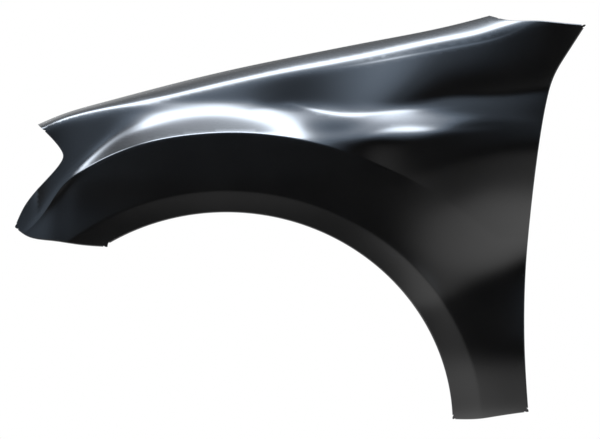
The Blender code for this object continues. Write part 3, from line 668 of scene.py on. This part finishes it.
def finish_strip(strip, width, holes=(), tab=None):
    """The strip's last flat, with rounded corners, holes, bolt pads and at most one tab.

    A hole is (place as a share of the strip, distance across, radius, slot, the way its pad faces).
    """
    travelled = lengths_along(strip.points)
    total = travelled[-1]

    def reach(s):
        edge = np.minimum(s, total - s)
        cut = np.clip(FLANGE_CORNER - edge, 0, FLANGE_CORNER)
        far = width - FLANGE_CORNER + np.sqrt(FLANGE_CORNER**2 - cut**2)
        if tab:
            share, half, extra = tab
            far = far + extra * ease((half + extra - np.abs(s - share * total)) / extra)
        return far

    rounding = FLANGE_CORNER * np.array(ROUNDING_SHARES)
    breaks = np.concatenate([rounding, total - rounding])
    if tab:
        share, half, extra = tab
        ramp = half + extra * np.linspace(0, 1, TAB_RAMP_STEPS)
        breaks = np.concatenate([breaks, share * total + ramp, share * total - ramp])
    far_s = filled(np.sort(breaks), EDGE_SPACING)
    near = np.column_stack([travelled, np.zeros_like(travelled)])
    far = np.column_stack([far_s, reach(far_s)])[::-1]
    border = np.concatenate([near, far])
    points = list(border)
    edges = []
    cuts = []
    pads = []
    for place_share, across, radius, slot, facing in holes:
        centre = (place_share * total, across)
        loops = [circle(centre, radius, HOLE_SIDES, slot)]
        if facing is not None:
            rings = [PAD_RADIUS + PAD_RAMP * share for share in RAMP_SHARES]
            loops.extend(circle(centre, ring, PAD_SIDES, slot) for ring in rings)
            pads.append((centre, slot, facing))
        for loop in loops:
            first = len(points)
            points.extend(loop)
            edges.extend((first + i, first + (i + 1) % len(loop)) for i in range(len(loop)))
        cuts.append(loops[0])
    found, faces, place = triangulated(points, edges, list(range(len(border))))

    base = np.column_stack([np.interp(found[:, 0], travelled, axis) for axis in strip.points.T])
    lead = unit(np.column_stack([np.interp(found[:, 0], travelled, axis) for axis in strip.heading.T]))
    placed = base + lead * found[:, 1:2]
    for centre, slot, facing in pads:
        beside = np.maximum(np.abs(found[:, 0] - centre[0]) - slot / 2, 0)
        away = np.hypot(beside, found[:, 1] - centre[1])
        on_pad = ease((PAD_RADIUS + PAD_RAMP - away) / PAD_RAMP)
        seat = strip_point(strip, centre[0]) + PAD_DEPTH * facing
        placed += np.outer(on_pad * ((seat - placed) @ facing), facing)
    verts = {place[i]: strip.verts[i] for i in range(len(near))}
    for i, point in enumerate(placed):
        if i not in verts:
            verts[i] = strip.panel.verts.new(point)
    for face in faces:
        middle = found[face].mean(axis=0)[None, :]
        if not any(is_inside(middle, loop)[0] for loop in cuts):
            strip.panel.faces.new([verts[i] for i in face])


def strip_point(strip, distance):
    """The point at a distance along the strip's near edge."""
    travelled = lengths_along(strip.points)
    return np.array([np.interp(distance, travelled, column) for column in strip.points.T])


def seat_point(strip, share, across):
    """The point of a level pad midway between its hole and its rim, on the sheet's underside."""
    start = strip_point(strip, share * lengths_along(strip.points)[-1])
    behind = REARWARD * (BOLT_HOLE_RADIUS + PAD_RADIUS) / 2
    return start + INBOARD * across + behind + DOWN * (PAD_DEPTH + SHEET)


def start_strip(panel, name, rim):
    """A strip that leaves the skin's edge in line with the skin."""
    border, spans, rim_verts = rim
    run = border[spans[name]]
    heading = off_the_skin(run, unit(np.gradient(run, axis=0)))
    return Strip(panel, [rim_verts[i] for i in spans[name]], heading)


# Places along each flange, as shares of its length
TOP_PAD_SHARES = (0.05, 0.27, 0.50, 0.74, 0.96)
SEAT_PAD_SHARE = 0.50
ARCH_CLIP_SHARES = (0.08, 0.24, 0.41, 0.58, 0.75, 0.92)
BUMPER_SLOT_SHARES = (0.27, 0.73)
DOOR_TAB_SHARE = 0.17
COWL_CLIP_SHARE = 0.50
SILL_SLOT_SHARE = 0.50


def bonnet_flange(panel, rim):
    """Drops from the bonnet gap and runs inboard, with level pads that bolt down to the body."""
    strip = start_strip(panel, "top", rim)
    strip.bend(DOWN)
    strip.advance(DOWN * TOP_DROP)
    strip.bend(INBOARD)
    across = TOP_FLANGE / 2
    finish_strip(strip, TOP_FLANGE, [(share, across, BOLT_HOLE_RADIUS, 0, DOWN) for share in TOP_PAD_SHARES])
    return seat_point(strip, SEAT_PAD_SHARE, across)


def cowl_flange(panel, rim):
    strip = start_strip(panel, "cowl", rim)
    strip.bend(INBOARD)
    finish_strip(strip, COWL_FLANGE, [(COWL_CLIP_SHARE, COWL_FLANGE / 2, CLIP_HOLE_RADIUS, 0, None)])


def door_flange(panel, rim):
    """Narrow return beside the door, widened to a tab that bolts to the hinge pillar."""
    strip = start_strip(panel, "door", rim)
    strip.bend(INBOARD)
    extra = DOOR_TAB - DOOR_FLANGE
    across = DOOR_TAB - PAD_RADIUS - PAD_RAMP
    hole = (DOOR_TAB_SHARE, across, BOLT_HOLE_RADIUS, 0, FORWARD)
    finish_strip(strip, DOOR_FLANGE, [hole], (DOOR_TAB_SHARE, DOOR_TAB_LENGTH / 2 - extra / 2, extra))


def sill_flange(panel, rim):
    """Foot that bolts up to the sill through a slot."""
    strip = start_strip(panel, "sill", rim)
    strip.bend(INBOARD)
    slot = SLOT_LENGTH - 2 * BOLT_HOLE_RADIUS
    finish_strip(strip, SILL_FLANGE, [(SILL_SLOT_SHARE, SILL_FLANGE / 2, BOLT_HOLE_RADIUS, slot, UP)])


def arch_flange(panel, rim):
    """Return round the wheel opening, with holes for the liner's clips."""
    strip = start_strip(panel, "arch", rim)
    strip.bend(INBOARD)
    holes = [(share, ARCH_FLANGE / 2, CLIP_HOLE_RADIUS, 0, None) for share in ARCH_CLIP_SHARES]
    finish_strip(strip, ARCH_FLANGE, holes)


def bumper_flange(panel, rim):
    """Return along the bumper joint, with slots for the bumper's bracket."""
    strip = start_strip(panel, "bumper", rim)
    strip.bend(INBOARD)
    slot = SLOT_LENGTH - 2 * CLIP_HOLE_RADIUS
    holes = [(share, BUMPER_FLANGE / 2, CLIP_HOLE_RADIUS, slot, None) for share in BUMPER_SLOT_SHARES]
    finish_strip(strip, BUMPER_FLANGE, holes)


def lamp_flange(panel, rim):
    strip = start_strip(panel, "lamp", rim)
    strip.bend(INBOARD)
    finish_strip(strip, LAMP_FLANGE)


def thickened(panel, skin_flat):
    """Points, triangles and loop normals of the sheet, with the outer skin's exact normals."""
    panel.verts.index_update()
    outer = np.array([vert.co for vert in panel.verts])
    normals = np.array([vert.normal for vert in panel.verts])
    normals[:len(skin_flat)] = skin_normals(skin_flat)
    faces = np.array([[vert.index for vert in face.verts] for face in panel.faces])
    count = len(outer)
    points = np.concatenate([outer, outer - SHEET * normals])
    triangles = [faces, faces[:, ::-1] + count]
    loop_normals = [normals[faces.ravel()], -normals[faces[:, ::-1].ravel()]]
    rims = []
    for edge in panel.edges:
        if len(edge.link_loops) == 1:
            loop = edge.link_loops[0]
            start, end = loop.vert.index, loop.link_loop_next.vert.index
            rims.append((end, start, start + count))
            rims.append((end, start + count, end + count))
    rims = np.array(rims)
    across = np.cross(points[rims[:, 1]] - points[rims[:, 0]], points[rims[:, 2]] - points[rims[:, 0]])
    triangles.append(rims)
    loop_normals.append(np.repeat(unit(across), 3, axis=0))
    return points, np.concatenate(triangles), np.concatenate(loop_normals)


def fine_panel():
    """The same panel as the CAD node, meshed finely enough for reflections."""
    border, spans = outline()
    flat, faces, place = skin_mesh(border)
    panel = bmesh.new()
    verts = [panel.verts.new(point) for point in skin_points(flat)]
    for face in faces:
        panel.faces.new([verts[i] for i in face])
    rim = border, spans, [verts[place[i]] for i in range(len(border))]
    seat = bonnet_flange(panel, rim)
    cowl_flange(panel, rim)
    door_flange(panel, rim)
    sill_flange(panel, rim)
    arch_flange(panel, rim)
    bumper_flange(panel, rim)
    lamp_flange(panel, rim)
    bmesh.ops.triangulate(panel, faces=panel.faces)
    bmesh.ops.recalc_face_normals(panel, faces=panel.faces)
    if sum(face.normal.y * face.calc_area() for face in panel.faces) > 0:
        bmesh.ops.reverse_faces(panel, faces=panel.faces)
    panel.normal_update()
    points, triangles, loop_normals = thickened(panel, flat)
    panel.free()

    mesh = bpy.data.meshes.new("pressed_panel")
    mesh.from_pydata(points - seat, [], triangles.tolist())
    mesh.shade_smooth()
    mesh.normals_split_custom_set(loop_normals)
    piece = bpy.data.objects.new("pressed_panel", mesh)
    bpy.context.collection.objects.link(piece)
    return piece


# Finish: each noise is (scale, detail)
PRIMER_DARK = (0.0026, 0.0026, 0.0027, 1)
PRIMER_LIGHT = (0.0040, 0.0040, 0.0041, 1)
DUST = (0.03, 0.03, 0.03, 1)
BLACK = (0, 0, 0, 1)
WHITE = (1, 1, 1, 1)
PRIMER_IOR = 1.5
MOTTLE_NOISE = (9, 5)
MOTTLE_RANGE = (0.35, 0.65)
SPECK_NOISE = (1400, 1)
SPECK_RANGE = (0.73, 0.80)
GLOSS_NOISE = (22, 4)
ROUGHNESS_RANGE = (0.12, 0.17)
GRAIN_NOISE = (420, 2)
GRAIN_STRENGTH = 0.05
GRAIN_HEIGHT = 0.0003


def black_primer():
    """Semi-gloss black dip primer with a faint mottle, a fine texture and a little dust."""
    material = bpy.data.materials.new("black_primer")
    material.use_nodes = True
    nodes = material.node_tree.nodes
    link = material.node_tree.links.new
    shader = nodes["Principled BSDF"]
    shader.inputs["Metallic"].default_value = 0
    shader.inputs["IOR"].default_value = PRIMER_IOR
    place = nodes.new("ShaderNodeTexCoord").outputs["Object"]

    def noise(scale, detail):
        texture = nodes.new("ShaderNodeTexNoise")
        texture.inputs["Scale"].default_value = scale
        texture.inputs["Detail"].default_value = detail
        link(place, texture.inputs["Vector"])
        return texture.outputs["Fac"]

    def ramp(source, positions, colours):
        spread = nodes.new("ShaderNodeValToRGB")
        elements = spread.color_ramp.elements
        for element, position, colour in zip(elements, positions, colours):
            element.position = position
            element.color = colour
        link(source, spread.inputs["Fac"])
        return spread.outputs["Color"]

    mottle = ramp(noise(*MOTTLE_NOISE), MOTTLE_RANGE, (PRIMER_DARK, PRIMER_LIGHT))
    specks = ramp(noise(*SPECK_NOISE), SPECK_RANGE, (BLACK, WHITE))
    dusted = nodes.new("ShaderNodeMix")
    dusted.data_type = "RGBA"
    link(specks, dusted.inputs["Factor"])
    link(mottle, dusted.inputs["A"])
    dusted.inputs["B"].default_value = DUST
    link(dusted.outputs["Result"], shader.inputs["Base Color"])
    gloss = nodes.new("ShaderNodeMapRange")
    link(noise(*GLOSS_NOISE), gloss.inputs["Value"])
    gloss.inputs["To Min"].default_value = ROUGHNESS_RANGE[0]
    gloss.inputs["To Max"].default_value = ROUGHNESS_RANGE[1]
    link(gloss.outputs["Result"], shader.inputs["Roughness"])
    bump = nodes.new("ShaderNodeBump")
    bump.inputs["Strength"].default_value = GRAIN_STRENGTH
    bump.inputs["Distance"].default_value = GRAIN_HEIGHT
    link(noise(*GRAIN_NOISE), bump.inputs["Height"])
    link(bump.outputs["Normal"], shader.inputs["Normal"])
    return material


# Studio, as radiance by the angle round the panel's length, from straight ahead up over the top
GLOW = (
    (-180, 1.0), (-120, 1.6), (-90, 2.4), (-50, 2.2), (-32, 1.45), (-22, 0.95), (-14, 0.4),
    (-8, 0.16), (-3, 0.03), (4, 0.02), (10, 0.06), (18, 0.22), (24, 0.5), (30, 0.7), (36, 1.05),
    (44, 2.0), (50, 2.6), (60, 4.2), (66, 6.5), (71, 13), (75, 28), (90, 28), (93, 12), (96, 5),
    (100, 2.8), (108, 1.9), (120, 1.15), (150, 1.0), (180, 1.0),
)
GLOW_BLUR = 1.6
GLOW_REACH = 8
TENT_RADIUS = 40
TENT_STEPS = 180

# Tints, as shares of the sky's blue: overhead by the same angle, and at the left and right sides
SKY_TINT = np.array([0.79, 1.0, 1.28])
SKY_SHARES = ((4, 0), (14, 1), (52, 1), (68, 0.5), (100, 0.45), (130, 0.2), (180, 0))
SIDE_TINT_SHARES = (0.9, 0.3)
SIDE_GLOW = (1.2, 1.1)

# Degrees to the left and to the right between which the strip light and the black flag fade out
STRIP_ENDS = ((27, 35), (45, 60))
FLAG_ENDS = ((44, 75), (42, 50))

# Spot, placed and spread in degrees round the length and sideways
SPOT_PLACE = (82, -44)
SPOT_SPREAD = (9, 4.5)
SPOT_LEVEL = 24


def rounded_glow(angle):
    """The glow's levels at each angle, with their corners blurred."""
    grid = np.arange(-180, 181)
    weights = np.exp(-0.5 * (np.arange(-GLOW_REACH, GLOW_REACH + 1) / GLOW_BLUR) ** 2)
    raw = np.interp(grid, *np.array(GLOW).T)
    padded = np.concatenate([raw[-GLOW_REACH - 1:-1], raw, raw[1:GLOW_REACH + 1]])
    return np.interp(angle, grid, np.convolve(padded, weights / weights.sum(), mode="valid"))


def glow_towards(ways):
    """Radiance of the studio in each direction: strip and spot above, black flag ahead, pale sides."""
    x, y, z = ways.T
    around = np.degrees(np.arctan2(z, -y))
    sideways = np.degrees(np.arcsin(np.clip(x, -1, 1)))
    base = rounded_glow(around)
    past_strip = [(np.abs(sideways) - inner) / (outer - inner) for inner, outer in STRIP_ENDS]
    strip = np.clip(1 - np.where(sideways < 0, *past_strip), 0, 1)
    off_round = (around - SPOT_PLACE[0]) / SPOT_SPREAD[0]
    off_sideways = (sideways - SPOT_PLACE[1]) / SPOT_SPREAD[1]
    off_spot = np.hypot(off_round, off_sideways)
    left, right = FLAG_ENDS
    past_left = np.clip((-sideways - left[0]) / (left[1] - left[0]), 0, 1)
    past_right = np.clip((sideways - right[0]) / (right[1] - right[0]), 0, 1)
    side = np.where(sideways < 0, *SIDE_GLOW)
    open_side = np.where(sideways < 0, past_left, past_right)
    level = np.where(base > 1, 1 + (base - 1) * strip, base + (side - base) * open_side)
    level = level + SPOT_LEVEL * np.exp(-0.5 * off_spot**2)
    overhead = np.interp(around, *np.array(SKY_SHARES).T)
    beside = open_side * np.where(sideways < 0, *SIDE_TINT_SHARES)
    blue = np.maximum(overhead, beside)[:, None]
    return level[:, None] * (1 + blue * (SKY_TINT - 1))


def studio_tent():
    """Sphere of soft light that only the panel's gloss sees."""
    tent = bmesh.new()
    bmesh.ops.create_uvsphere(tent, u_segments=2 * TENT_STEPS, v_segments=TENT_STEPS, radius=TENT_RADIUS)
    mesh = bpy.data.meshes.new("studio_tent")
    tent.to_mesh(mesh)
    tent.free()
    ways = np.array([vertex.co for vertex in mesh.vertices]) / TENT_RADIUS
    glow = np.column_stack([glow_towards(ways), np.ones(len(ways))])
    mesh.color_attributes.new("glow", "FLOAT_COLOR", "POINT").data.foreach_set("color", glow.ravel())
    material = bpy.data.materials.new("studio_glow")
    material.use_nodes = True
    material.cycles.emission_sampling = "NONE"
    nodes = material.node_tree.nodes
    nodes.clear()
    colour = nodes.new("ShaderNodeAttribute")
    colour.attribute_name = "glow"
    emission = nodes.new("ShaderNodeEmission")
    output = nodes.new("ShaderNodeOutputMaterial")
    material.node_tree.links.new(colour.outputs["Color"], emission.inputs["Color"])
    material.node_tree.links.new(emission.outputs["Emission"], output.inputs["Surface"])
    mesh.materials.append(material)
    sphere = bpy.data.objects.new("studio_tent", mesh)
    sphere.visible_camera = False
    sphere.visible_diffuse = False
    sphere.visible_transmission = False
    sphere.visible_shadow = False
    bpy.context.collection.objects.link(sphere)


# Floor and lamps
FLOOR_DROP = 0.35
FLOOR_RADIUS = 2.4
FLOOR_SIDES = 96
FLOOR_COLOUR = (0.86, 0.86, 0.86, 1)
FLOOR_ROUGHNESS = 0.9
FILL_LEVEL = 0.6
LAMP_SIZE = 2.5
LAMP_POWER = 160
LAMP_PLACE = (-1.6, -2.4, 3.2)


def pale_floor(foot):
    disc = bmesh.new()
    bmesh.ops.create_circle(disc, cap_ends=True, segments=FLOOR_SIDES, radius=FLOOR_RADIUS)
    mesh = bpy.data.meshes.new("floor")
    disc.to_mesh(mesh)
    disc.free()
    material = bpy.data.materials.new("pale_floor")
    material.use_nodes = True
    shader = material.node_tree.nodes["Principled BSDF"]
    shader.inputs["Base Color"].default_value = FLOOR_COLOUR
    shader.inputs["Roughness"].default_value = FLOOR_ROUGHNESS
    mesh.materials.append(material)
    floor = bpy.data.objects.new("floor", mesh)
    floor.location = (0, 0, foot - FLOOR_DROP)
    floor.visible_glossy = False
    bpy.context.collection.objects.link(floor)


def white_world():
    """White to the camera, gloss and glass, and a plain soft fill for the rest."""
    world = bpy.data.worlds.new("white_studio")
    bpy.context.scene.world = world
    world.use_nodes = True
    nodes = world.node_tree.nodes
    link = world.node_tree.links.new
    ray = nodes.new("ShaderNodeLightPath")
    seen = ray.outputs["Is Camera Ray"]
    for name in ("Is Glossy Ray", "Is Transmission Ray"):
        either = nodes.new("ShaderNodeMath")
        either.operation = "MAXIMUM"
        link(seen, either.inputs[0])
        link(ray.outputs[name], either.inputs[1])
        seen = either.outputs["Value"]
    level = nodes.new("ShaderNodeMapRange")
    link(seen, level.inputs["Value"])
    level.inputs["To Min"].default_value = FILL_LEVEL
    level.inputs["To Max"].default_value = 1
    background = nodes["Background"]
    background.inputs["Color"].default_value = WHITE
    link(level.outputs["Result"], background.inputs["Strength"])


def soft_lamp():
    light = bpy.data.lights.new("soft_lamp", "AREA")
    light.shape = "DISK"
    light.size = LAMP_SIZE
    light.energy = LAMP_POWER
    lamp = bpy.data.objects.new("soft_lamp", light)
    lamp.location = LAMP_PLACE
    lamp.rotation_euler = (-Vector(LAMP_PLACE)).to_track_quat("-Z", "Y").to_euler()
    lamp.visible_glossy = False
    bpy.context.collection.objects.link(lamp)


# Camera, level and square to the car's side, as the photograph's
LENS = 1000
SENSOR = 36
VIEW_WIDTH = 1.170
VIEW_CENTRE_SHARES = (0.5000, 0.4938)
FACE_Y = -0.1
CLIP_END = 100


def side_camera(tip, foot):
    """Camera whose frame is the view's width across, centred at shares of the length and height."""
    data = bpy.data.cameras.new("camera")
    data.lens = LENS
    data.sensor_width = SENSOR
    data.clip_end = CLIP_END
    camera = bpy.data.objects.new("camera", data)
    x = tip + VIEW_CENTRE_SHARES[0] * LENGTH
    z = foot + VIEW_CENTRE_SHARES[1] * HEIGHT
    camera.location = (x, FACE_Y - VIEW_WIDTH * LENS / SENSOR, z)
    camera.rotation_euler = (math.pi / 2, 0, 0)
    bpy.context.collection.objects.link(camera)
    bpy.context.scene.camera = camera


for leftover in list(bpy.data.objects):
    bpy.data.objects.remove(leftover)
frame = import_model()
scene = bpy.context.scene
scene.view_settings.view_transform = "Standard"

skin = fine_panel()
skin.data.materials.append(black_primer())
frame["nodes"]["fender_panel"].material_slots[0].material = skin.data.materials[0]
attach(skin, "root")
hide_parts("fender_panel")

low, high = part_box("fender_panel")
studio_tent()
pale_floor(low.z)
white_world()
soft_lamp()
side_camera(low.x, high.z - HEIGHT * TOP_SHARES[-1][1])
